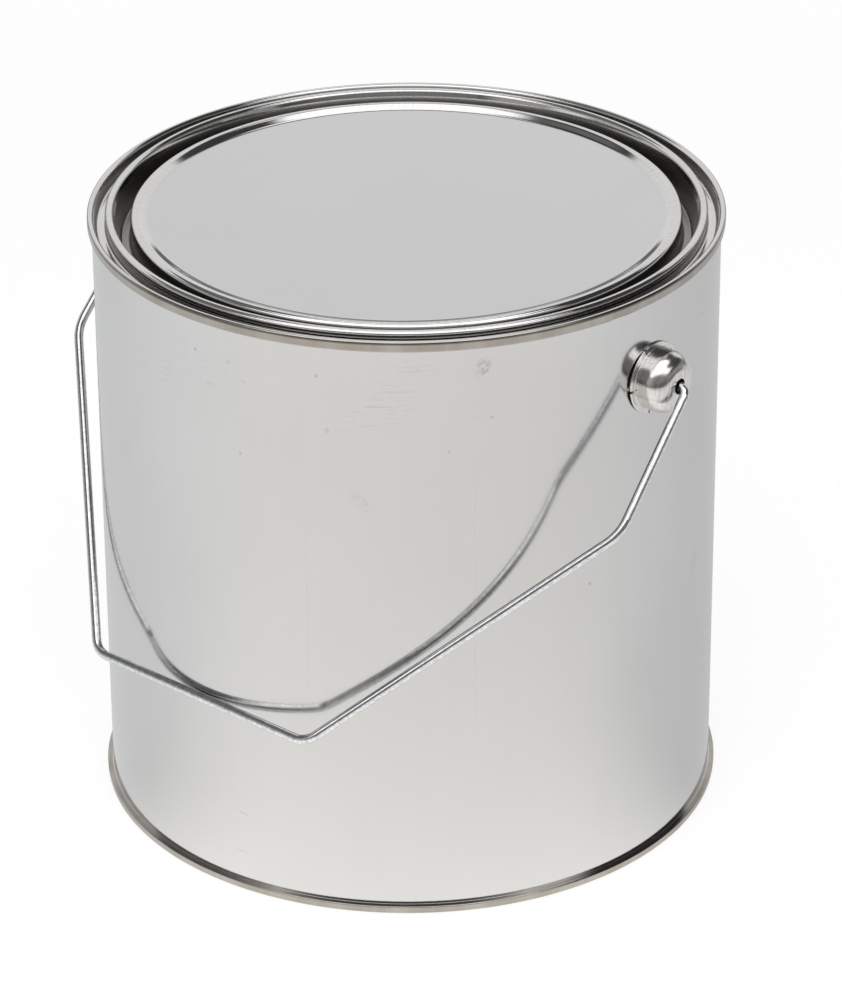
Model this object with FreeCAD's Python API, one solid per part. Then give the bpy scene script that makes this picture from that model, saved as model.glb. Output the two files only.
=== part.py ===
import FreeCAD, Part
import os
from math import cos, pi, radians, sin, sqrt, tan

from FreeCAD import Vector

# Lever-lid metal tin with a wire bail. Millimetres, +Z up.
# The tin stands on z = 0 round the Z axis, and its two ears lie on the X axis.
# Heights below the top seam are given as depths from the seam's top.

# ---- driving sizes: tin ----
can_height = 154.0        # floor to the top of the upper double seam
body_dia = 153.0          # outside of the sheet wall
top_seam_proud = 1.05     # how far the upper double seam stands out of the wall
top_seam_width = 1.4      # thickness of its folded hooks at the crest
top_seam_height = 2.4
bottom_seam_proud = 1.4
bottom_seam_width = 1.8
bottom_seam_height = 2.8
seam_round = 0.6          # rounding of a seam's edges
sheet = 0.6               # end plates under the channel and under the floor recess
wall_sheet = 0.8          # wall that stands up inside a seam
chuck_lean = 0.8          # how far the wall inside the upper seam leans inwards

# ---- driving sizes: lever ring and lid ----
channel_depth = 3.3       # channel floor between the seam and the lid
channel_width = 2.3       # from the foot of the chuck wall to the lid's seat
corner_round = 0.5        # pressed corners of ring, lid and base
seat_depth = 1.7          # top of the ring's inner edge, which carries the lid's curl
seat_width = 1.3
plug_clearance = 0.05     # lid plug in the ring's mouth, at the radius
curl_gap = 0.05           # lid curl over the ring's inner edge
curl_overhang = 0.15      # rolled edge of the lid, beyond the seat that carries it
plug_sheet = 0.4          # sheet of the lid where it turns down into the mouth
curl_proud = 0.5          # how far the curl stands above the seams
groove_depth = 7.0
groove_floor = 2.2        # width of the plug groove at its floor
groove_lean = 1.9         # how far the groove's outer wall leans in over its depth
plug_floor = 1.0          # lid below the groove
bead_depth = 0.7          # crest of the bead round the panel
bead_lean = 0.25          # how far the groove's inner wall leans in on its way up
bead_crest = 1.9          # width of that crest
bead_width = 4.3          # from the groove to the flat panel
panel_depth = 1.6

# ---- driving sizes: base ----
base_recess = 3.2         # floor of the base above the standing edge
base_lean = 0.8           # how far the wall round that recess leans inwards
base_bead_inset = 12.4    # stepped panel in the base, in from the chuck wall
base_bead_height = 0.8
foot_round = 0.65         # rounding of the edge that the tin stands on

# ---- driving sizes: ears ----
ear_drop = 22.6           # bail pivot below the top of the tin
ear_dia = 17.9            # flange, flat against the curved wall
flange_thickness = 0.5
flange_width = 1.35       # flange outside the domed cap
flange_round = 0.2
cap_height = 8.1          # from the wall to the nose
nose_dia = 6.2            # flat nose round the eye
cap_wall = 0.7
eye_clearance = 0.75      # eye round the wire
tab_count = 5             # the flange is five folded tabs
tab_slit = 0.7
tab_first_angle = 59.0    # degrees round the ear, from its lowest point

# ---- driving sizes: bail ----
wire_dia = 2.3
hook_gap = 3.5            # wire's end inside the cap, to the wall
leg_gap = 1.0             # leg to the ear's nose
hook_inner_round = 1.35   # inside of the bend at the ear
shoulder_spread = 1.3     # shoulder bend outside the leg's corner
shoulder_place = 0.34     # of the way along the bail from the pivot to the grip
shoulder_round = 11.0
grip_share = 0.448        # half the grip, as a part of the wall's radius
grip_round = 6.5
rest_angle = 44.0         # bail from straight down, where it lies against the tin
wall_clearance = 0.3      # wire to wall in that place

# ---- sizes that follow ----
body_r = body_dia / 2
hook_root_r = body_r - wall_sheet
seam_outer_r = body_r + top_seam_proud
seam_inner_r = seam_outer_r - top_seam_width
chuck_r = seam_inner_r - chuck_lean
seat_outer_r = chuck_r - channel_width
mouth_r = seat_outer_r - seat_width
plug_r = mouth_r - plug_clearance
curl_outer_r = seat_outer_r + curl_overhang
curl_inner_r = plug_r - plug_sheet
groove_outer_r = curl_inner_r - groove_lean
groove_inner_r = groove_outer_r - groove_floor
bead_r = groove_inner_r - bead_lean
panel_r = bead_r - bead_width
plug_depth = groove_depth + plug_floor
base_outer_r = body_r + bottom_seam_proud
base_inner_r = base_outer_r - bottom_seam_width
base_chuck_r = base_inner_r - base_lean
base_bead_r = base_chuck_r - base_bead_inset
ear_height = can_height - ear_drop
ear_r = ear_dia / 2
cap_r = ear_r - flange_width
nose_r = nose_dia / 2
cap_round = cap_r - nose_r
wire_r = wire_dia / 2
eye_r = wire_r + eye_clearance
nose_x = body_r + cap_height
leg_x = nose_x + leg_gap + wire_r
hook_x = body_r + hook_gap
shoulder_half = leg_x + shoulder_spread
grip_half = body_r * grip_share
grip_drop = (body_r + wire_r + wall_clearance) / sin(radians(rest_angle))
shoulder_drop = grip_drop * shoulder_place


def at_depth(depth):
    return can_height - depth


def rounded_outline(corners):
    """Closed wire in the XZ plane; each corner is (x, z) or (x, z, radius)."""
    points = [Vector(corner[0], 0, corner[1]) for corner in corners]
    radii = [corner[2] if len(corner) > 2 else 0.0 for corner in corners]
    return Part.Wire(tangent_path(points, radii, closed=True))


def tangent_path(points, radii, closed=False):
    """Straight runs joined by tangent arcs of the given radius at each point."""
    count = len(points)
    starts = []
    ends = []
    arcs = []
    for index, point in enumerate(points):
        radius = radii[index]
        open_end = not closed and index in (0, count - 1)
        if radius == 0 or open_end:
            starts.append(point)
            ends.append(point)
            arcs.append(None)
            continue
        back = (points[index - 1] - point).normalize()
        ahead = (points[(index + 1) % count] - point).normalize()
        half_turn = (pi - back.getAngle(ahead)) / 2
        reach = radius * tan(half_turn)
        middle = (back + ahead).normalize()
        sagitta = radius / cos(half_turn) - radius
        first = point + back * reach
        last = point + ahead * reach
        starts.append(first)
        ends.append(last)
        arcs.append(Part.Arc(first, point + middle * sagitta, last).toShape())
    edges = []
    for index in range(count):
        if arcs[index] is not None:
            edges.append(arcs[index])
        if index == count - 1 and not closed:
            break
        after = (index + 1) % count
        if ends[index].distanceToPoint(starts[after]) > 1e-6:
            edges.append(Part.LineSegment(ends[index], starts[after]).toShape())
    return edges


def turned(corners):
    """Solid of revolution round the Z axis."""
    face = Part.Face(rounded_outline(corners))
    return face.revolve(Vector(0, 0, 0), Vector(0, 0, 1), 360)


def make_can_body():
    # Shut and never opened here, so the wall and what it holds are one solid.
    floor_z = base_recess + sheet
    top_z = at_depth(channel_depth + sheet)
    return turned([
        (0, floor_z + base_bead_height),
        (base_bead_r - base_bead_height, floor_z + base_bead_height),
        (base_bead_r, floor_z),
        (hook_root_r, floor_z),
        (hook_root_r, bottom_seam_height),
        (body_r, bottom_seam_height),
        (body_r, at_depth(top_seam_height)),
        (hook_root_r, at_depth(top_seam_height)),
        (hook_root_r, top_z),
        (mouth_r, top_z),
        (mouth_r, at_depth(plug_depth)),
        (0, at_depth(plug_depth)),
    ])


def make_top_ring():
    # Double seam, chuck wall, channel and the inner edge that the lid closes on.
    return turned([
        (mouth_r, at_depth(channel_depth + sheet)),
        (hook_root_r, at_depth(channel_depth + sheet)),
        (hook_root_r, at_depth(top_seam_height)),
        (seam_outer_r, at_depth(top_seam_height), seam_round),
        (seam_outer_r, can_height, seam_round),
        (seam_inner_r, can_height, seam_round),
        (chuck_r, at_depth(channel_depth), corner_round),
        (seat_outer_r, at_depth(channel_depth), corner_round),
        (seat_outer_r, at_depth(seat_depth)),
        (mouth_r, at_depth(seat_depth)),
    ])


def make_lid():
    # Pressed plug: rolled edge, deep groove, bead and flat panel.
    curl_under_z = at_depth(seat_depth - curl_gap)
    curl_top_z = can_height + curl_proud
    curl_round = 0.49 * (curl_outer_r - curl_inner_r)
    return turned([
        (0, at_depth(plug_depth)),
        (plug_r, at_depth(plug_depth)),
        (plug_r, curl_under_z),
        (curl_outer_r, curl_under_z, curl_round),
        (curl_outer_r, curl_top_z, curl_round),
        (curl_inner_r, curl_top_z, curl_round),
        (groove_outer_r, at_depth(groove_depth), corner_round),
        (groove_inner_r, at_depth(groove_depth), corner_round),
        (bead_r, at_depth(bead_depth), 0.8),
        (bead_r - bead_crest, at_depth(bead_depth), 4.0),
        (panel_r, at_depth(panel_depth), 6.0),
        (0, at_depth(panel_depth)),
    ])


def make_bottom_end():
    floor_z = base_recess
    return turned([
        (0, floor_z + base_bead_height),
        (base_bead_r - base_bead_height, floor_z + base_bead_height, corner_round),
        (base_bead_r, floor_z, corner_round),
        (base_chuck_r, floor_z, corner_round),
        (base_inner_r, 0, foot_round),
        (base_outer_r, 0, foot_round),
        (base_outer_r, bottom_seam_height, seam_round),
        (hook_root_r, bottom_seam_height),
        (hook_root_r, floor_z + sheet),
        (base_bead_r, floor_z + sheet),
        (base_bead_r - base_bead_height, floor_z + sheet + base_bead_height),
        (0, floor_z + sheet + base_bead_height),
    ])


def make_ear():
    # Domed cap whose flat flange stands on the curved wall, with an eye for the wire.
    # Made round +Z and then laid along +X at the bail's height.
    inner_r = cap_r - cap_wall
    flange_front = body_r + flange_thickness
    seat_x = sqrt(body_r ** 2 - cap_r ** 2) - cap_wall
    ear = turned([
        (inner_r, seat_x),
        (cap_r, seat_x),
        (cap_r, body_r),
        (ear_r, body_r, flange_round),
        (ear_r, flange_front, flange_round),
        (cap_r, flange_front, flange_round),
        (cap_r, nose_x, cap_round),
        (eye_r, nose_x, flange_round),
        (eye_r, nose_x - cap_wall),
        (inner_r, nose_x - cap_wall, cap_round - cap_wall),
    ])
    slit = Part.makeBox(
        2 * flange_width, tab_slit, flange_thickness,
        Vector(cap_r, -tab_slit / 2, body_r))
    for number in range(tab_count):
        cut = slit.copy()
        cut.rotate(Vector(0, 0, 0), Vector(0, 0, 1), tab_first_angle + 360.0 * number / tab_count)
        ear = ear.cut(cut)
    ear.rotate(Vector(0, 0, 0), Vector(0, 1, 0), 90)
    ear.translate(Vector(0, 0, ear_height))
    return ear.cut(Part.makeCylinder(body_r, can_height))


def make_bail():
    # Flat bent wire, drawn hanging straight down and then swung out to the wall.
    half = [
        Vector(hook_x, 0, 0),
        Vector(leg_x, 0, 0),
        Vector(shoulder_half, 0, -shoulder_drop),
        Vector(grip_half, 0, -grip_drop),
    ]
    radii = [0.0, wire_r + hook_inner_round, shoulder_round, grip_round]
    other = [Vector(-point.x, 0, point.z) for point in reversed(half)]
    path = Part.Wire(tangent_path(half + other, radii + radii[::-1]))
    section = Part.Wire(Part.makeCircle(wire_r, half[0], Vector(1, 0, 0)))
    bail = path.makePipeShell([section], True, False)
    bail.rotate(Vector(0, 0, 0), Vector(1, 0, 0), -rest_angle)
    bail.translate(Vector(0, 0, ear_height))
    return bail


def save(name, shape):
    solids = shape.Solids
    if len(solids) != 1 or not solids[0].isValid():
        raise ValueError(f"{name} is not one valid solid")
    solids[0].exportStep(f"parts/{name}.step")
    print(f"{name}: {solids[0].Volume / 1000:.2f} cm3")


os.makedirs("parts", exist_ok=True)
save("can_body", make_can_body())
save("top_ring", make_top_ring())
save("lid", make_lid())
save("bottom_end", make_bottom_end())
ear = make_ear()
save("ear_right", ear)
save("ear_left", ear.mirror(Vector(0, 0, 0), Vector(1, 0, 0)))
save("bail", make_bail())
print(f"bail swings {360 - 2 * rest_angle:.2f} degrees from wall to wall")
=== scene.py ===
import math

import bmesh
import bpy
from mathutils import Matrix, Vector


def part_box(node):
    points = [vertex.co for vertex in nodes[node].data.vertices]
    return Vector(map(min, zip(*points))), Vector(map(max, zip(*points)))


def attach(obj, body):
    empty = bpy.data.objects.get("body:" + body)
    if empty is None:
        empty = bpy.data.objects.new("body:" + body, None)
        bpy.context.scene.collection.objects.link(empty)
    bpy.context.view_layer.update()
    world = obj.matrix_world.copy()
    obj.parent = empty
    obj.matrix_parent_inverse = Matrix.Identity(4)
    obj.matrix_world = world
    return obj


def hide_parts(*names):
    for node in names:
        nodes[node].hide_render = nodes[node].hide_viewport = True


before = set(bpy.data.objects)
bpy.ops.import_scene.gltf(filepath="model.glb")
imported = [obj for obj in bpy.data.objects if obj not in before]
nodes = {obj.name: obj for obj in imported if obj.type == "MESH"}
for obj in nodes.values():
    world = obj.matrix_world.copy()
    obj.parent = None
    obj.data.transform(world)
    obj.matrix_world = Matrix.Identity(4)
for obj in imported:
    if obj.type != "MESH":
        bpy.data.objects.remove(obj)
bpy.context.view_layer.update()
print("frame loaded:", ", ".join(sorted(nodes)))

mm = 0.001
toneSpan = (0.3, 0.7)      # the part of a noise that runs from the darker tone to the lighter
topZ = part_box("top_ring")[1].z
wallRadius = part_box("can_body")[1].x


def setSocket(tree, socket, value):
    if isinstance(value, bpy.types.NodeSocket):
        tree.links.new(value, socket)
    else:
        socket.default_value = value


def addNode(tree, kind, inputs=None, **settings):
    node = tree.nodes.new(kind)
    for name, value in settings.items():
        setattr(node, name, value)
    for key, value in (inputs or {}).items():
        setSocket(tree, node.inputs[key], value)
    return node


def calc(tree, operation, *values):
    return addNode(tree, "ShaderNodeMath", dict(enumerate(values)), operation=operation).outputs[0]


def vectorCalc(tree, operation, *values, output="Vector"):
    inputs = dict(enumerate(values))
    return addNode(tree, "ShaderNodeVectorMath", inputs, operation=operation).outputs[output]


def fade(tree, value, fromMin, fromMax, toMin=0.0, toMax=1.0):
    # smooth step from one value to another
    node = addNode(tree, "ShaderNodeMapRange", {
        "Value": value, "From Min": fromMin, "From Max": fromMax,
        "To Min": toMin, "To Max": toMax}, interpolation_type="SMOOTHSTEP")
    return node.outputs["Result"]


def mixColour(tree, factor, a, b):
    node = addNode(tree, "ShaderNodeMix", data_type="RGBA")
    colours = [socket for socket in node.inputs if socket.type == "RGBA"]
    setSocket(tree, node.inputs[0], factor)
    setSocket(tree, colours[0], a)
    setSocket(tree, colours[1], b)
    return [socket for socket in node.outputs if socket.type == "RGBA"][0]


def mapped(tree, source, location=(0, 0, 0), rotation=(0, 0, 0), scale=(1, 1, 1)):
    return addNode(tree, "ShaderNodeMapping", {
        "Vector": source, "Location": location, "Rotation": rotation, "Scale": scale}).outputs["Vector"]


def noise(tree, vector, scale, detail=2.0, roughness=0.5):
    return addNode(tree, "ShaderNodeTexNoise", {
        "Vector": vector, "Scale": scale, "Detail": detail, "Roughness": roughness}).outputs[0]


def grey(value, warmth=0.0):
    return (value * (1 + warmth), value, value * (1 - warmth), 1.0)


def newGroup(name, inputs, outputs, kind="ShaderNodeTree"):
    tree = bpy.data.node_groups.new(name, kind)
    for socketName, socketKind, value in inputs:
        socket = tree.interface.new_socket(name=socketName, in_out="INPUT", socket_type=socketKind)
        if value is not None:
            socket.default_value = value
    for socketName, socketKind in outputs:
        tree.interface.new_socket(name=socketName, in_out="OUTPUT", socket_type=socketKind)
    return tree, tree.nodes.new("NodeGroupInput").outputs, tree.nodes.new("NodeGroupOutput").inputs


def useGroup(tree, group, **inputs):
    node = tree.nodes.new("ShaderNodeGroup")
    node.node_tree = group
    for name, value in inputs.items():
        setSocket(tree, node.inputs[name], value)
    return node.outputs


# an outline of sheet, turned round the tin's axis
turning = {
    "segments": 360,
    "ringRadius": 0.07,
    "arcStep": 5.0,            # degrees between the points of a rounding
    "edgeLoop": 0.12,          # millimetres from a corner to the loop that holds it
    "shortestRun": 0.48,       # millimetres, shorter runs get no loops
    "merge": 0.001 * mm,
    "ripple": 0.01 * mm,
    "rippleScale": 30.0,
}


def roundedOutline(corners):
    # corners are (radius, height, rounding) in millimetres; each rounding becomes an arc
    ends = []
    for index, (x, z, rounding) in enumerate(corners):
        corner = Vector((x, z))
        if rounding == 0:
            ends.append([corner])
            continue
        back = (Vector(corners[index - 1][:2]) - corner).normalized()
        ahead = (Vector(corners[(index + 1) % len(corners)][:2]) - corner).normalized()
        halfAngle = back.angle(ahead) / 2
        centre = corner + (back + ahead).normalized() * (rounding / math.sin(halfAngle))
        start = corner + back * (rounding / math.tan(halfAngle)) - centre
        turn = -start.angle_signed(corner + ahead * (rounding / math.tan(halfAngle)) - centre)
        count = max(2, round(abs(math.degrees(turn)) / turning["arcStep"]))
        ends.append([centre + Matrix.Rotation(turn * part / count, 2) @ start for part in range(count + 1)])
    points = []
    for index, arc in enumerate(ends):
        points += arc
        after = ends[(index + 1) % len(ends)][0]
        run = after - arc[-1]
        if run.length > turning["shortestRun"]:
            points.append(arc[-1] + run.normalized() * turning["edgeLoop"])
            points.append(after - run.normalized() * turning["edgeLoop"])
    return points


def makeTurnedTree():
    tree, given, result = newGroup("turnedSheet", [
        ("Outline", "NodeSocketGeometry", None),
        ("Segments", "NodeSocketInt", turning["segments"]),
        ("Ring Radius", "NodeSocketFloat", turning["ringRadius"]),
        ("Ripple", "NodeSocketFloat", turning["ripple"]),
        ("Ripple Scale", "NodeSocketFloat", turning["rippleScale"]),
        ("Seed", "NodeSocketFloat", 1.0),
        ("Material", "NodeSocketMaterial", None),
    ], [("Piece", "NodeSocketGeometry")], kind="GeometryNodeTree")
    tree.is_modifier = True
    circle = addNode(tree, "GeometryNodeCurvePrimitiveCircle", {
        "Resolution": given["Segments"], "Radius": given["Ring Radius"]})
    profile = addNode(tree, "GeometryNodeMeshToCurve", {"Mesh": given["Outline"]})
    swept = addNode(tree, "GeometryNodeCurveToMesh", {
        "Curve": circle.outputs["Curve"], "Profile Curve": profile.outputs["Curve"]})
    closed = addNode(tree, "GeometryNodeMergeByDistance", {
        "Geometry": swept.outputs["Mesh"], "Distance": turning["merge"]})
    wave = addNode(tree, "ShaderNodeTexNoise", {
        "W": given["Seed"], "Scale": given["Ripple Scale"], "Detail": 1.0}, noise_dimensions="4D")
    amount = calc(tree, "MULTIPLY", calc(tree, "SUBTRACT", wave.outputs[0], 0.5), given["Ripple"])
    normal = tree.nodes.new("GeometryNodeInputNormal").outputs["Normal"]
    push = addNode(tree, "ShaderNodeVectorMath", {0: normal, "Scale": amount}, operation="SCALE")
    moved = addNode(tree, "GeometryNodeSetPosition", {
        "Geometry": closed.outputs["Geometry"], "Offset": push.outputs["Vector"]})
    smooth = addNode(tree, "GeometryNodeSetShadeSmooth", {"Geometry": moved.outputs["Geometry"]})
    real = addNode(tree, "GeometryNodeRealizeInstances", {"Geometry": smooth.outputs["Geometry"]})
    coated = addNode(tree, "GeometryNodeSetMaterial", {
        "Geometry": real.outputs["Geometry"], "Material": given["Material"]})
    setSocket(tree, result["Piece"], coated.outputs["Geometry"])
    return tree


turnedSheet = makeTurnedTree()


def makeTurned(name, corners, material, node, slot, **inputs):
    outline = roundedOutline(corners)
    mesh = bpy.data.meshes.new(name)
    mesh.from_pydata([(point.x * mm - turning["ringRadius"], -point.y * mm, 0) for point in outline],
                     [(index, (index + 1) % len(outline)) for index in range(len(outline))], [])
    piece = bpy.data.objects.new(name, mesh)
    bpy.context.scene.collection.objects.link(piece)
    modifier = piece.modifiers.new("turned", "NODES")
    modifier.node_group = turnedSheet
    inputs["Material"] = material
    for socket in turnedSheet.interface.items_tree:
        if socket.in_out == "INPUT" and socket.name in inputs:
            modifier[socket.identifier] = inputs[socket.name]
    shape = piece.evaluated_get(bpy.context.evaluated_depsgraph_get())
    baked = bpy.data.meshes.new_from_object(shape)
    piece.modifiers.clear()
    piece.data = baked
    pointOutwards(baked)
    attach(piece, "tin")
    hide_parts(node)
    print(name, "made,", len(baked.polygons), "faces")
    return piece


def pointOutwards(mesh):
    work = bmesh.new()
    work.from_mesh(mesh)
    bmesh.ops.recalc_face_normals(work, faces=work.faces)
    work.to_mesh(mesh)
    work.free()


def makeSoftBand():
    # one between two values, with soft ends
    tree, given, result = newGroup("softBand", [
        ("Value", "NodeSocketFloat", 0.0), ("Low", "NodeSocketFloat", 0.0),
        ("High", "NodeSocketFloat", 1.0), ("Soft", "NodeSocketFloat", 0.1),
    ], [("Mask", "NodeSocketFloat")])
    above = fade(tree, given["Value"], given["Low"], calc(tree, "ADD", given["Low"], given["Soft"]))
    below = fade(tree, given["Value"], given["High"], calc(tree, "SUBTRACT", given["High"], given["Soft"]))
    setSocket(tree, result["Mask"], calc(tree, "MULTIPLY", above, below))
    return tree


def makeTurnedPlace():
    # radius, height and a unit direction round the axis
    tree, given, result = newGroup("turnedPlace", [("Vector", "NodeSocketVector", None)], [
        ("Radius", "NodeSocketFloat"), ("Height", "NodeSocketFloat"), ("Direction", "NodeSocketVector")])
    flat = vectorCalc(tree, "MULTIPLY", given["Vector"], (1, 1, 0))
    setSocket(tree, result["Radius"], vectorCalc(tree, "LENGTH", flat, output="Value"))
    parts = addNode(tree, "ShaderNodeSeparateXYZ", {0: given["Vector"]}).outputs
    setSocket(tree, result["Height"], parts["Z"])
    setSocket(tree, result["Direction"], vectorCalc(tree, "NORMALIZE", flat))
    return tree


def makeRolledGrain():
    # faint clouds, fine streaks along the roll and small grain
    tree, given, result = newGroup("rolledGrain", [
        ("Vector", "NodeSocketVector", None),
        ("Cloud Scale", "NodeSocketFloat", 14.0),
        ("Streak Scale", "NodeSocketFloat", 500.0),
        ("Streak Share", "NodeSocketFloat", 0.12),
        ("Grain Scale", "NodeSocketFloat", 2600.0),
        ("Grain Share", "NodeSocketFloat", 0.5),
    ], [("Tone", "NodeSocketFloat"), ("Height", "NodeSocketFloat")])
    cloud = noise(tree, given["Vector"], given["Cloud Scale"], 3.0)
    streak = noise(tree, mapped(tree, given["Vector"], scale=(1, 1, 0.02)), given["Streak Scale"], 1.0)
    grain = noise(tree, given["Vector"], given["Grain Scale"], 1.0)
    rest = calc(tree, "MULTIPLY", cloud, calc(tree, "SUBTRACT", 1.0, given["Streak Share"]))
    setSocket(tree, result["Tone"], calc(tree, "MULTIPLY_ADD", streak, given["Streak Share"], rest))
    setSocket(tree, result["Height"], calc(tree, "MULTIPLY_ADD", grain, given["Grain Share"], streak))
    return tree


def makeDrawRings():
    # fine lines that run round the axis, as a turning die leaves them
    tree, given, result = newGroup("drawRings", [
        ("Radius", "NodeSocketFloat", 0.0), ("Height", "NodeSocketFloat", 0.0),
        ("Direction", "NodeSocketVector", None), ("Scale", "NodeSocketFloat", 2500.0),
        ("Drift", "NodeSocketFloat", 0.0012), ("Patch Scale", "NodeSocketFloat", 9.0),
    ], [("Lines", "NodeSocketFloat"), ("Patches", "NodeSocketFloat")])
    across = addNode(tree, "ShaderNodeCombineXYZ", {"X": given["Radius"], "Y": given["Height"]}).outputs[0]
    drift = addNode(tree, "ShaderNodeVectorMath", {
        0: given["Direction"], "Scale": given["Drift"]}, operation="SCALE").outputs["Vector"]
    setSocket(tree, result["Lines"], noise(tree, vectorCalc(tree, "ADD", across, drift), given["Scale"], 2.0))
    setSocket(tree, result["Patches"], noise(tree, given["Direction"], given["Patch Scale"], 4.0, 0.6))
    return tree


def makeHollowShade():
    # painted shade and a rougher sheet low in a groove, between two radii and under a height
    tree, given, result = newGroup("hollowShade", [
        ("Radius", "NodeSocketFloat", 0.0), ("Height", "NodeSocketFloat", 0.0),
        ("Inner", "NodeSocketFloat", 0.0), ("Outer", "NodeSocketFloat", 1.0),
        ("Top", "NodeSocketFloat", 0.0), ("Soft", "NodeSocketFloat", 0.8 * mm),
        ("Edge", "NodeSocketFloat", 0.12 * mm), ("Before", "NodeSocketFloat", 0.0),
    ], [("Mask", "NodeSocketFloat")])
    across = useGroup(tree, softBand, Value=given["Radius"], Low=given["Inner"], High=given["Outer"],
                      Soft=given["Edge"])
    deep = fade(tree, given["Height"], given["Top"], calc(tree, "SUBTRACT", given["Top"], given["Soft"]))
    here = calc(tree, "MULTIPLY", across["Mask"], deep)
    setSocket(tree, result["Mask"], calc(tree, "MAXIMUM", here, given["Before"]))
    return tree


def makeSpecks():
    # small dark specks, thrown at random over a surface
    tree, given, result = newGroup("handlingSpecks", [
        ("Vector", "NodeSocketVector", None), ("Scale", "NodeSocketFloat", 120.0),
        ("Size", "NodeSocketFloat", 0.07), ("Share", "NodeSocketFloat", 0.12),
    ], [("Mask", "NodeSocketFloat")])
    cells = addNode(tree, "ShaderNodeTexVoronoi", {"Vector": given["Vector"], "Scale": given["Scale"]})
    pick = addNode(tree, "ShaderNodeSeparateColor", {"Color": cells.outputs["Color"]}).outputs[0]
    spot = fade(tree, cells.outputs["Distance"], given["Size"], 0.0)
    rare = calc(tree, "LESS_THAN", pick, given["Share"])
    setSocket(tree, result["Mask"], calc(tree, "MULTIPLY", spot, rare))
    return tree


def makeRubMark():
    # one soft mark on the wall, at an angle round the axis and a height
    tree, given, result = newGroup("rubMark", [
        ("Vector", "NodeSocketVector", None), ("Turn", "NodeSocketVector", None),
        ("Height", "NodeSocketFloat", 0.1), ("Tilt", "NodeSocketVector", None),
        ("Width", "NodeSocketFloat", 0.004), ("Length", "NodeSocketFloat", 0.004),
        ("Broken", "NodeSocketFloat", 0.5), ("Core", "NodeSocketFloat", 0.2),
        ("Torn Scale", "NodeSocketFloat", 900.0), ("Torn Low", "NodeSocketFloat", 0.45),
        ("Torn High", "NodeSocketFloat", 0.6),
    ], [("Mask", "NodeSocketFloat")])
    turned = mapped(tree, given["Vector"], rotation=given["Turn"])
    parts = addNode(tree, "ShaderNodeSeparateXYZ", {0: turned}).outputs
    local = addNode(tree, "ShaderNodeCombineXYZ", {
        "X": parts["Y"], "Y": calc(tree, "SUBTRACT", parts["Z"], given["Height"])}).outputs[0]
    local = mapped(tree, local, rotation=given["Tilt"])
    size = addNode(tree, "ShaderNodeCombineXYZ", {
        "X": given["Width"], "Y": given["Length"], "Z": 1.0}).outputs[0]
    reach = vectorCalc(tree, "LENGTH", vectorCalc(tree, "DIVIDE", local, size), output="Value")
    spot = fade(tree, reach, 1.0, given["Core"])
    facing = calc(tree, "GREATER_THAN", parts["X"], 0.0)
    torn = noise(tree, given["Vector"], given["Torn Scale"], 3.0, 0.7)
    torn = fade(tree, torn, given["Torn Low"], given["Torn High"])
    whole = calc(tree, "SUBTRACT", 1.0, given["Broken"])
    torn = calc(tree, "MULTIPLY_ADD", torn, given["Broken"], whole)
    setSocket(tree, result["Mask"], calc(tree, "MULTIPLY", calc(tree, "MULTIPLY", spot, facing), torn))
    return tree


softBand = makeSoftBand()
turnedPlace = makeTurnedPlace()
rolledGrain = makeRolledGrain()
drawRings = makeDrawRings()
hollowShade = makeHollowShade()
handlingSpecks = makeSpecks()
rubMark = makeRubMark()


def newFinish(name):
    material = bpy.data.materials.new(name)
    material.use_nodes = True
    tree = material.node_tree
    tree.nodes.clear()
    output = tree.nodes.new("ShaderNodeOutputMaterial")
    shader = addNode(tree, "ShaderNodeBsdfPrincipled", {"Metallic": 1.0})
    tree.links.new(shader.outputs["BSDF"], output.inputs["Surface"])
    place = addNode(tree, "ShaderNodeTexCoord").outputs["Object"]
    return material, tree, shader, place


def setLooks(tree, shader, colour, roughness, height, strength, distance):
    setSocket(tree, shader.inputs["Base Color"], colour)
    setSocket(tree, shader.inputs["Roughness"], roughness)
    bump = addNode(tree, "ShaderNodeBump", {"Strength": strength, "Distance": distance, "Height": height})
    tree.links.new(bump.outputs["Normal"], shader.inputs["Normal"])


def findRings(tree, place):
    spot = useGroup(tree, turnedPlace, Vector=place)
    rings = useGroup(tree, drawRings, Radius=spot["Radius"], Height=spot["Height"],
                     Direction=spot["Direction"])
    return spot, rings


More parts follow.
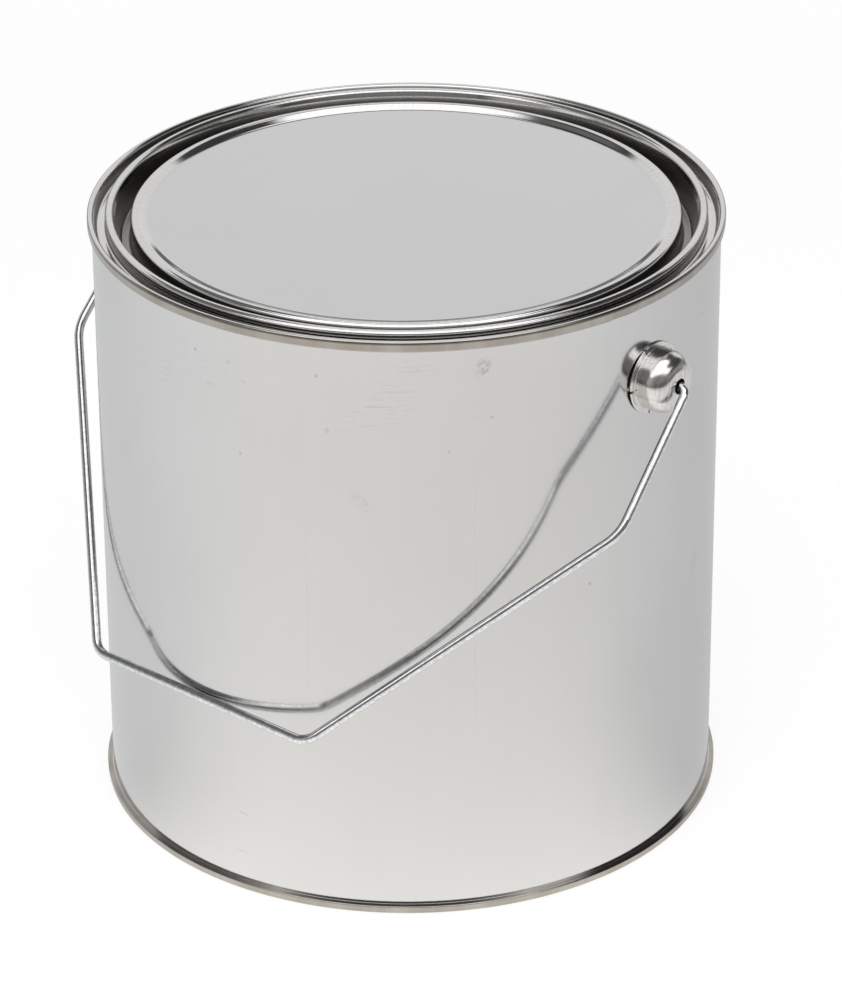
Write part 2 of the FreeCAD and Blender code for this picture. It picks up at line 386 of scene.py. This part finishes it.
# radii, heights and depths under the rim are in millimetres here and in the sizes that follow
wallSizes = {
    "low": 2.0, "high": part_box("can_body")[1].z / mm, "sheet": 0.8, "segments": 480,
    "ripple": 0.03 * mm,
}
wallFinish = {
    "light": grey(0.655, 0.006),
    "dark": grey(0.625, 0.010),
    "stain": grey(0.30, 0.06),
    "roughness": 0.13,
    "roughnessChange": 0.05,
    "bump": (0.03, 0.1 * mm),
    "speckScale": 95.0,
    "speckDark": 0.5,
    # short scratches round the wall, in patches, from one height up to the rim
    "scratchScale": 170.0,
    "scratchStretch": 11.0,
    "scratchSpan": (0.55, 0.65),
    "scratchDark": 0.32,
    "patchScale": 24.0,
    "patchSpan": (0.46, 0.62),
    "scratchRise": (0.11, 0.15),
    # angle round from the right ear, height, tilt, half width, half length, how broken, how dark
    "marks": (
        (-82, 143, 0, 0.8, 0.8, 0.3, 0.35), (-86, 136, 10, 2.2, 0.5, 0.6, 0.25),
        (-79, 139, 10, 1.6, 0.5, 0.6, 0.25), (-80, 120, 0, 0.7, 0.9, 0.5, 0.3),
        (-63.3, 130, 0, 1.0, 1.0, 0.6, 0.3), (-42, 125, 0, 0.6, 0.6, 0.2, 0.3),
        (-34.4, 133, 0, 0.8, 0.7, 0.4, 0.3), (-36, 146, 25, 2.6, 3.4, 0.9, 0.55),
        (-31, 84, 0, 0.7, 0.5, 0.2, 0.3), (-114, 115, 0, 0.5, 0.5, 0.0, 0.3),
        (-57.5, 112, 30, 4.5, 3.0, 0.8, 0.16), (16.7, 72, 0, 3.0, 4.5, 0.6, 0.14),
        (18.4, 138, 0, 0.6, 0.6, 0.0, 0.35), (-81.5, 21, 12, 2.3, 0.25, 0.2, 0.35),
        (-82, 10, -3, 2.8, 0.25, 0.2, 0.25),
    ),
    # long faint lines: angle, middle height, half length
    "lines": ((-67.5, 85, 50), (-37.5, 86, 60)),
    "lineHalf": 0.25,
    "lineBroken": 0.7,
    "lineDark": 0.10,
}


def makeWallFinish():
    finish = wallFinish
    material, tree, shader, place = newFinish("satinTinplate")
    grain = useGroup(tree, rolledGrain, Vector=place)
    specks = useGroup(tree, handlingSpecks, Vector=place, Scale=finish["speckScale"])
    colour = mixColour(tree, fade(tree, grain["Tone"], *toneSpan), finish["dark"], finish["light"])
    speckMask = calc(tree, "MULTIPLY", specks["Mask"], finish["speckDark"])
    colour = mixColour(tree, speckMask, colour, finish["stain"])
    level = addNode(tree, "ShaderNodeSeparateXYZ", {0: place}).outputs["Z"]
    stretched = mapped(tree, place, scale=(1, 1, finish["scratchStretch"]))
    scratch = fade(tree, noise(tree, stretched, finish["scratchScale"], 2.0, 0.6), *finish["scratchSpan"])
    patch = fade(tree, noise(tree, place, finish["patchScale"], 2.0), *finish["patchSpan"])
    rise = fade(tree, level, *finish["scratchRise"], 0.0, finish["scratchDark"])
    scratch = calc(tree, "MULTIPLY", calc(tree, "MULTIPLY", scratch, patch), rise)
    colour = mixColour(tree, scratch, colour, finish["stain"])
    rubs = list(finish["marks"])
    for angle, height, reach in finish["lines"]:
        rubs.append((angle, height, 0, finish["lineHalf"], reach, finish["lineBroken"], finish["lineDark"]))
    for angle, height, tilt, width, length, broken, strength in rubs:
        mark = useGroup(tree, rubMark, Vector=place, Turn=(0, 0, math.radians(-angle)), Height=height * mm,
                        Tilt=(0, 0, math.radians(tilt)), Width=width * mm, Length=length * mm, Broken=broken)
        colour = mixColour(tree, calc(tree, "MULTIPLY", mark["Mask"], strength), colour, finish["stain"])
    tone = calc(tree, "SUBTRACT", grain["Tone"], 0.5)
    rough = calc(tree, "MULTIPLY_ADD", tone, finish["roughnessChange"], finish["roughness"])
    setLooks(tree, shader, colour, rough, grain["Height"], *finish["bump"])
    return material


def makeWall(material):
    low = wallSizes["low"]
    high = wallSizes["high"]
    outside = wallRadius / mm
    inside = outside - wallSizes["sheet"]
    makeTurned("canWall", [(inside, low, 0), (outside, low, 0), (outside, high, 0), (inside, high, 0)],
               material, "can_body", "tinplate_wall", Segments=wallSizes["segments"],
               Ripple=wallSizes["ripple"])


ringSizes = {
    "seamOuter": 77.55, "seamInner": 76.15, "chuck": 75.35, "seatOuter": 73.05, "mouth": 71.75,
    "hookRoot": 75.7, "seamHeight": 2.7, "channelDepth": 3.3, "seatDepth": 1.7, "sheet": 0.6,
    "seamRound": 0.5, "crownRound": 0.88, "cornerRound": 0.5,
}
# painted shade on the rougher walls of a groove: inner radius, outer radius, depth under the rim and softness
hollowPaintedShade = {
    "colour": grey(0.29, 0.04),
    "roughness": 0.28,
    "ring": ((75.36, 76.4, 0.7, 0.5), (72.7, 73.2, 1.5, 0.3)),
    "lid": ((66.85, 71.6, 0.9, 1.0), (72.9, 73.5, 0.2, 0.5)),
}


def addPaintedHollowShade(tree, spot, hollows, colour, roughness):
    mask = 0.0
    for inner, outer, depth, soft in hollows:
        mask = useGroup(tree, hollowShade, Radius=spot["Radius"], Height=spot["Height"], Inner=inner * mm,
                        Outer=outer * mm, Top=topZ - depth * mm, Soft=soft * mm, Before=mask)["Mask"]
    # mixes painted shade into the colour low in each groove; the rougher sheet there is real
    change = calc(tree, "SUBTRACT", hollowPaintedShade["roughness"], roughness)
    colour = mixColour(tree, mask, colour, hollowPaintedShade["colour"])
    return colour, calc(tree, "MULTIPLY_ADD", change, mask, roughness)


ringFinish = {
    "bright": grey(0.72, 0.012),
    "shade": grey(0.66, 0.015),
    "stain": (0.36, 0.335, 0.295, 1.0),
    # edge: the colour of a painted shade line along the seam's upper outer edge
    "edge": (0.15, 0.14, 0.125, 1.0),
    "roughness": 0.07,
    "stainRoughness": 0.16,
    "bump": (0.02, 0.1 * mm),
    "wear": (0.75, 1.0),       # how far the stain covers, at its least and most
    "wearSpan": (0.25, 0.7),
    "stainSoft": 1.1 * mm,
    "stainStart": 0.5 * mm,
    "shadeLineHalf": 0.4 * mm,
    "shadeLineSoft": 0.3 * mm,
}
# the stained outside of each seam: from and to which height, beyond which radius, and the height of a painted
# shade line along its upper edge
topStain = {"low": topZ - 3.2 * mm, "high": topZ + 0.9 * mm, "inside": 77.0 * mm, "edge": topZ - 0.5 * mm}
baseStain = {"low": -1.2 * mm, "high": 3.1 * mm, "inside": 76.4 * mm, "edge": None}


def makeRingFinish(name, stain, hollows=()):
    finish = ringFinish
    material, tree, shader, place = newFinish(name)
    spot, rings = findRings(tree, place)
    band = useGroup(tree, softBand, Value=spot["Height"], Low=stain["low"], High=stain["high"],
                    Soft=finish["stainSoft"])
    outside = fade(tree, spot["Radius"], stain["inside"], stain["inside"] + finish["stainStart"])
    worn = fade(tree, rings["Patches"], *finish["wearSpan"], *finish["wear"])
    cover = calc(tree, "MULTIPLY", outside, worn)
    mask = calc(tree, "MULTIPLY", band["Mask"], cover)
    colour = mixColour(tree, fade(tree, rings["Lines"], *toneSpan), finish["shade"], finish["bright"])
    colour = mixColour(tree, mask, colour, finish["stain"])
    # a painted shade line along the top seam's upper outer edge, patchy like the stain
    if stain["edge"] is not None:
        low = stain["edge"] - finish["shadeLineHalf"]
        high = stain["edge"] + finish["shadeLineHalf"]
        shadeLine = useGroup(tree, softBand, Value=spot["Height"], Low=low, High=high, Soft=finish["shadeLineSoft"])
        colour = mixColour(tree, calc(tree, "MULTIPLY", shadeLine["Mask"], cover), colour, finish["edge"])
    change = finish["stainRoughness"] - finish["roughness"]
    rough = calc(tree, "MULTIPLY_ADD", mask, change, finish["roughness"])
    colour, rough = addPaintedHollowShade(tree, spot, hollows, colour, rough)
    setLooks(tree, shader, colour, rough, rings["Lines"], *finish["bump"])
    return material


def makeTopRing(material):
    size = ringSizes
    top = topZ / mm
    seamUnder = top - size["seamHeight"]
    channel = top - size["channelDepth"]
    seat = top - size["seatDepth"]
    under = channel - size["sheet"]
    makeTurned("topRing", [
        (size["mouth"], under, 0), (size["hookRoot"], under, 0), (size["hookRoot"], seamUnder, 0),
        (size["seamOuter"], seamUnder, size["seamRound"]), (size["seamOuter"], top, size["seamRound"]),
        (size["seamInner"], top, size["crownRound"]), (size["chuck"], channel, size["cornerRound"]),
        (size["seatOuter"], channel, size["cornerRound"]), (size["seatOuter"], seat, 0),
        (size["mouth"], seat, 0),
    ], material, "top_ring", "tinplate_bright")


lidSizes = {
    "plug": 71.70, "curlOuter": 73.20, "curlInner": 71.30, "grooveOuter": 69.40, "grooveInner": 67.20,
    "bead": 66.95, "beadInner": 65.05, "panel": 62.65, "plugDepth": 8.0, "curlUnder": 1.65,
    "curlProud": 0.5, "curlRound": 0.93, "grooveDepth": 7.0, "grooveRound": 0.5, "beadDepth": 0.7,
    "beadRound": 1.1, "crestRound": 2.5, "panelRound": 4.0, "panelDepth": 1.6,
}
lidFinish = {
    "panel": (0.658, 0.655, 0.666, 1.0),
    "panelShade": (0.638, 0.635, 0.646, 1.0),
    "bright": grey(0.72, 0.012),
    "shade": grey(0.64, 0.012),
    "panelRoughness": 0.10,
    "panelEdge": 1.0 * mm,
    "roughness": 0.07,
    "bump": (0.02, 0.1 * mm),
    "spokeScale": 140.0,       # fine lines that run outwards over the stretched bead
    "spokeShare": 0.6,
    "streakSpan": (0.35, 0.62),
    "rolledTurn": 20.0,        # degrees, the way the panel's sheet was rolled
    "rolledShare": 0.3,
}


def makeLidFinish():
    finish = lidFinish
    material, tree, shader, place = newFinish("pressedLid")
    spot, rings = findRings(tree, place)
    rolled = mapped(tree, place, rotation=(math.radians(90), 0, math.radians(finish["rolledTurn"])))
    grain = useGroup(tree, rolledGrain, Vector=rolled)
    edge = lidSizes["panel"] * mm
    panel = fade(tree, spot["Radius"], edge + finish["panelEdge"], edge)
    spokes = noise(tree, spot["Direction"], finish["spokeScale"], 2.0, 0.6)
    lines = calc(tree, "MULTIPLY", rings["Lines"], 1.0 - finish["spokeShare"])
    streaks = calc(tree, "MULTIPLY_ADD", spokes, finish["spokeShare"], lines)
    worked = mixColour(tree, fade(tree, streaks, *finish["streakSpan"]), finish["shade"], finish["bright"])
    flat = mixColour(tree, fade(tree, grain["Tone"], *toneSpan), finish["panelShade"], finish["panel"])
    change = finish["panelRoughness"] - finish["roughness"]
    rough = calc(tree, "MULTIPLY_ADD", panel, change, finish["roughness"])
    colour, rough = addPaintedHollowShade(tree, spot, hollowPaintedShade["lid"], mixColour(tree, panel, worked, flat), rough)
    height = calc(tree, "MULTIPLY", streaks, calc(tree, "SUBTRACT", 1.0, panel))
    rolledHeight = calc(tree, "MULTIPLY", grain["Height"], panel)
    height = calc(tree, "ADD", height, calc(tree, "MULTIPLY", rolledHeight, finish["rolledShare"]))
    setLooks(tree, shader, colour, rough, height, *finish["bump"])
    return material


def makeLid(material):
    size = lidSizes
    top = topZ / mm
    floor = top - size["plugDepth"]
    under = top - size["curlUnder"]
    crown = top + size["curlProud"]
    groove = top - size["grooveDepth"]
    bead = top - size["beadDepth"]
    panel = top - size["panelDepth"]
    makeTurned("leverLid", [
        (0, floor, 0), (size["plug"], floor, 0), (size["plug"], under, 0),
        (size["curlOuter"], under, size["curlRound"]), (size["curlOuter"], crown, size["curlRound"]),
        (size["curlInner"], crown, size["curlRound"]), (size["grooveOuter"], groove, size["grooveRound"]),
        (size["grooveInner"], groove, size["grooveRound"]), (size["bead"], bead, size["beadRound"]),
        (size["beadInner"], bead, size["crestRound"]), (size["panel"], panel, size["panelRound"]),
        (0, panel, 0),
    ], material, "lid", "tinplate_lid")


baseSizes = {
    "outer": 77.9, "inner": 76.1, "chuck": 75.3, "bead": 62.9, "beadHeight": 0.8, "recess": 3.2,
    "sheet": 0.6, "seamHeight": 2.0, "footRound": 0.65, "seamRound": 0.3, "hookRoot": 75.7,
    "cornerRound": 0.5,
}


def makeBase(material):
    size = baseSizes
    floor = size["recess"]
    raised = floor + size["beadHeight"]
    beadInner = size["bead"] - size["beadHeight"]
    makeTurned("baseEnd", [
        (0, raised, 0), (beadInner, raised, size["cornerRound"]), (size["bead"], floor, size["cornerRound"]),
        (size["chuck"], floor, size["cornerRound"]), (size["inner"], 0, size["footRound"]),
        (size["outer"], 0, size["footRound"]), (size["outer"], size["seamHeight"], size["seamRound"]),
        (size["hookRoot"], size["seamHeight"], 0), (size["hookRoot"], floor + size["sheet"], 0),
        (size["bead"], floor + size["sheet"], 0), (beadInner, raised + size["sheet"], 0),
        (0, raised + size["sheet"], 0),
    ], material, "bottom_end", "tinplate_wall")


earFinish = {
    "bright": grey(0.76, 0.02), "shade": grey(0.64, 0.03), "roughness": 0.21, "grain": (1.0, 1.0, 0.12),
}
wireFinish = {
    "bright": grey(0.82, -0.01), "shade": grey(0.62, -0.02), "roughness": 0.12, "grain": (1.0, 0.25, 1.0),
}
drawnGrain = {"scale": 1500.0, "span": (0.35, 0.65), "bump": (0.03, 0.1 * mm)}


def makeDrawnFinish(name, finish):
    material, tree, shader, place = newFinish(name)
    tone = noise(tree, mapped(tree, place, scale=finish["grain"]), drawnGrain["scale"], 3.0, 0.6)
    colour = mixColour(tree, fade(tree, tone, *drawnGrain["span"]), finish["shade"], finish["bright"])
    setLooks(tree, shader, colour, finish["roughness"], tone, *drawnGrain["bump"])
    return material


makeWall(makeWallFinish())
makeTopRing(makeRingFinish("polishedRing", topStain, hollowPaintedShade["ring"]))
makeLid(makeLidFinish())
makeBase(makeRingFinish("polishedBase", baseStain))
ear = makeDrawnFinish("polishedEar", earFinish)
wire = makeDrawnFinish("drawnWire", wireFinish)
for nodeName, material in (("ear_right", ear), ("ear_left", ear), ("bail", wire)):
    nodes[nodeName].data.materials.clear()
    nodes[nodeName].data.materials.append(material)
print("pieces and finishes made")

studio = {
    "heading": math.radians(40.9),   # where the viewer stands, round from -Y
    "softboxHeight": 0.80,           # above the rim
    "softboxLevel": 1.5,
    # left, right, near and far edges of each panel of the softbox
    "softboxPanels": {
        "middle": (-0.50, 0.55, -1.05, 0.05), "leftWing": (-1.30, -0.50, -1.05, -0.38),
        "rightWing": (0.55, 1.45, -1.25, -0.50),
    },
    "surround": 0.05,
    # degrees round from straight behind the tin, degrees up, softness and level
    "cards": {
        "left": (-155, -45, -30, 40, 14, 0.38),
        "leftLow": (-125, -40, -40, 8, 8, 0.85),
        "leftHigh": (-150, -18, 38, 72, 6, 0.17),
        "rightLow": (40, 132, -30, 19, 6, 0.30),
        "ceiling": (-100, 110, 64, 91, 6, 0.35),
        "backdrop": (-66, 50, -30, 39, 3, 0.86),
        "strip": (-22, 24, 54, 67, 3, 1.50),
        "stripFoot": (-12, 17, 44, 58, 3, 1.50),
        "horizon": (-80, 70, 0, 10, 3, 0.16),
        "viewerLeft": (-190, -150, 3, 34, 3, 0.22),
        "viewerRight": (128, 190, 3, 34, 3, 0.22),
    },
    "floorHalf": 6.0,
    # the floor's glow in reflections, a painted pool of light round the tin: its level, the change to the
    # right, to the back and its square
    "floorTurn": (0.855, -0.052, -0.165, -0.07),
    # extra glow beside the foot, behind (a painted shadow) and before (painted light), and how far it reaches
    "floorFootShadeAndLight": (-0.18, 0.22, 0.06),
    "floorFootTurn": (-0.15, -0.85),
    # towards the viewer it fades out between two distances
    "floorNear": (0.7, 1.1),
    "floorNearTurn": (0.4, 0.0),
    # an even, dimmer level under the tin as painted shade, and its edge inside the wall
    "floorUnderShade": 0.5,
    "floorUnderEdge": (1 * mm, 8 * mm),
    # warm before the tin, cool behind it
    "floorWarm": (1.015, 1.0, 0.98, 1.0),
    "floorCool": (0.985, 1.0, 1.0, 1.0),
    "floorWarmTurn": (-0.9, -0.1),
    # the floor as it is seen: where it turns white, its glow and the share of light that can be shaded
    "floorWhite": (0.2, 0.7),
    "floorGlow": 0.80,
    "floorShadow": 0.35,
}


def inStudio(right, back, up):
    cosine = math.cos(studio["heading"])
    sine = math.sin(studio["heading"])
    return (right * cosine - back * sine, right * sine + back * cosine, up)


def makeSoftbox():
    for name, (left, right, near, far) in studio["softboxPanels"].items():
        light = bpy.data.lights.new(name, "AREA")
        light.shape = "RECTANGLE"
        light.size = right - left
        light.size_y = far - near
        light.energy = studio["softboxLevel"] * math.pi * light.size * light.size_y
        lamp = bpy.data.objects.new(name, light)
        lamp.location = inStudio((left + right) / 2, (near + far) / 2, topZ + studio["softboxHeight"])
        lamp.rotation_euler = (0, 0, studio["heading"])
        lamp.visible_camera = False
        bpy.context.scene.collection.objects.link(lamp)


def asColour(tree, level):
    return addNode(tree, "ShaderNodeCombineColor", {0: level, 1: level, 2: level}).outputs[0]


def makeStudioCard():
    tree, given, result = newGroup("studioCard", [
        (name, "NodeSocketFloat", 0.0)
        for name in ("Turn", "Rise", "Left", "Right", "Bottom", "Top", "Soft", "Behind", "Level")
    ], [("Level", "NodeSocketFloat")])
    sides = useGroup(tree, softBand, Value=given["Turn"], Low=given["Left"], High=given["Right"],
                     Soft=given["Soft"])
    ends = useGroup(tree, softBand, Value=given["Rise"], Low=given["Bottom"], High=given["Top"],
                    Soft=given["Soft"])
    mask = calc(tree, "MULTIPLY", sides["Mask"], ends["Mask"])
    change = calc(tree, "SUBTRACT", given["Level"], given["Behind"])
    setSocket(tree, result["Level"], calc(tree, "MULTIPLY_ADD", mask, change, given["Behind"]))
    return tree


def makeWorld():
    world = bpy.data.worlds.new("studioWorld")
    bpy.context.scene.world = world
    world.use_nodes = True
    tree = world.node_tree
    tree.nodes.clear()
    studioCard = makeStudioCard()
    direction = addNode(tree, "ShaderNodeTexCoord").outputs["Generated"]
    right = vectorCalc(tree, "DOT_PRODUCT", direction, inStudio(1, 0, 0), output="Value")
    back = vectorCalc(tree, "DOT_PRODUCT", direction, inStudio(0, 1, 0), output="Value")
    up = addNode(tree, "ShaderNodeSeparateXYZ", {0: direction}).outputs["Z"]
    turn = calc(tree, "DEGREES", calc(tree, "ARCTAN2", right, back))
    rise = calc(tree, "DEGREES", calc(tree, "ARCSINE", up))
    level = studio["surround"]
    for left, rightEnd, bottom, top, soft, brightness in studio["cards"].values():
        level = useGroup(tree, studioCard, Turn=turn, Rise=rise, Left=left, Right=rightEnd, Bottom=bottom,
                         Top=top, Soft=soft, Behind=level, Level=brightness)["Level"]
    seen = addNode(tree, "ShaderNodeLightPath").outputs["Is Camera Ray"]
    background = addNode(tree, "ShaderNodeBackground", {
        "Color": mixColour(tree, seen, asColour(tree, level), grey(1.0)), "Strength": 1.0})
    output = tree.nodes.new("ShaderNodeOutputWorld")
    tree.links.new(background.outputs[0], output.inputs["Surface"])


def makeFloor():
    half = studio["floorHalf"]
    corners = [(-half, -half, 0), (half, -half, 0), (half, half, 0), (-half, half, 0)]
    mesh = bpy.data.meshes.new("floor")
    mesh.from_pydata(corners, [], [(0, 1, 2, 3)])
    floor = bpy.data.objects.new("floor", mesh)
    bpy.context.scene.collection.objects.link(floor)
    material = bpy.data.materials.new("paleFloor")
    material.use_nodes = True
    tree = material.node_tree
    tree.nodes.clear()
    place = addNode(tree, "ShaderNodeTexCoord").outputs["Object"]
    spot = useGroup(tree, turnedPlace, Vector=place)
    toRight = vectorCalc(tree, "DOT_PRODUCT", spot["Direction"], inStudio(1, 0, 0), output="Value")
    away = vectorCalc(tree, "DOT_PRODUCT", spot["Direction"], inStudio(0, 1, 0), output="Value")
    level, rightChange, backChange, backSquare = studio["floorTurn"]
    table = calc(tree, "MULTIPLY_ADD", toRight, rightChange, level)
    table = calc(tree, "MULTIPLY_ADD", calc(tree, "MULTIPLY_ADD", away, backSquare, backChange), away, table)
    footBehind, footBefore, reach = studio["floorFootShadeAndLight"]
    gap = calc(tree, "DIVIDE", calc(tree, "SUBTRACT", wallRadius, spot["Radius"]), reach)
    footShadeAndLight = fade(tree, away, *studio["floorFootTurn"], footBehind, footBefore)
    # painted shadow beside the foot behind the tin and painted light before it, in the floor's glow
    table = calc(tree, "MULTIPLY_ADD", calc(tree, "EXPONENT", gap), footShadeAndLight, table)
    near = fade(tree, away, *studio["floorNearTurn"])
    edge = calc(tree, "MULTIPLY", fade(tree, spot["Radius"], *studio["floorNear"]), near)
    drop = calc(tree, "SUBTRACT", studio["surround"], table)
    table = calc(tree, "MULTIPLY_ADD", edge, drop, table)
    outer, inner = studio["floorUnderEdge"]
    under = fade(tree, spot["Radius"], wallRadius - outer, wallRadius - inner)
    # painted shade under the tin, in the floor's glow
    table = calc(tree, "MULTIPLY_ADD", under, calc(tree, "SUBTRACT", studio["floorUnderShade"], table), table)
    warm = fade(tree, away, *studio["floorWarmTurn"])
    tint = mixColour(tree, warm, studio["floorWarm"], studio["floorCool"])
    reflected = addNode(tree, "ShaderNodeEmission", {"Color": tint, "Strength": table})
    glow = fade(tree, spot["Radius"], *studio["floorWhite"], studio["floorGlow"], 1.0)
    shownGlow = addNode(tree, "ShaderNodeEmission", {"Color": grey(1.0), "Strength": glow})
    white = fade(tree, spot["Radius"], *studio["floorWhite"])
    lit = mixColour(tree, white, grey(studio["floorShadow"]), grey(0.0))
    shownLit = addNode(tree, "ShaderNodeBsdfDiffuse", {"Color": lit})
    shown = addNode(tree, "ShaderNodeAddShader", {0: shownGlow.outputs[0], 1: shownLit.outputs[0]})
    seen = addNode(tree, "ShaderNodeLightPath").outputs["Is Camera Ray"]
    mix = addNode(tree, "ShaderNodeMixShader", {0: seen, 1: reflected.outputs[0], 2: shown.outputs[0]})
    # clear from below, so that the foot can be seen
    below = addNode(tree, "ShaderNodeNewGeometry").outputs["Backfacing"]
    clear = tree.nodes.new("ShaderNodeBsdfTransparent")
    mix = addNode(tree, "ShaderNodeMixShader", {0: below, 1: mix.outputs[0], 2: clear.outputs[0]})
    output = tree.nodes.new("ShaderNodeOutputMaterial")
    tree.links.new(mix.outputs[0], output.inputs["Surface"])
    mesh.materials.append(material)


makeSoftbox()
makeWorld()
makeFloor()
bpy.context.scene.view_settings.view_transform = "Standard"
print("studio made")

shot = {
    "place": (0.68838, -0.79468, 0.62149),
    "turn": (62.4497, 0.3445, 40.5537),   # degrees
    "lens": 170.2,
}
camera = bpy.data.objects.new("camera", bpy.data.cameras.new("camera"))
camera.location = shot["place"]
camera.rotation_euler = [math.radians(angle) for angle in shot["turn"]]
camera.data.lens = shot["lens"]
bpy.context.scene.collection.objects.link(camera)
bpy.context.scene.camera = camera
print("camera set")
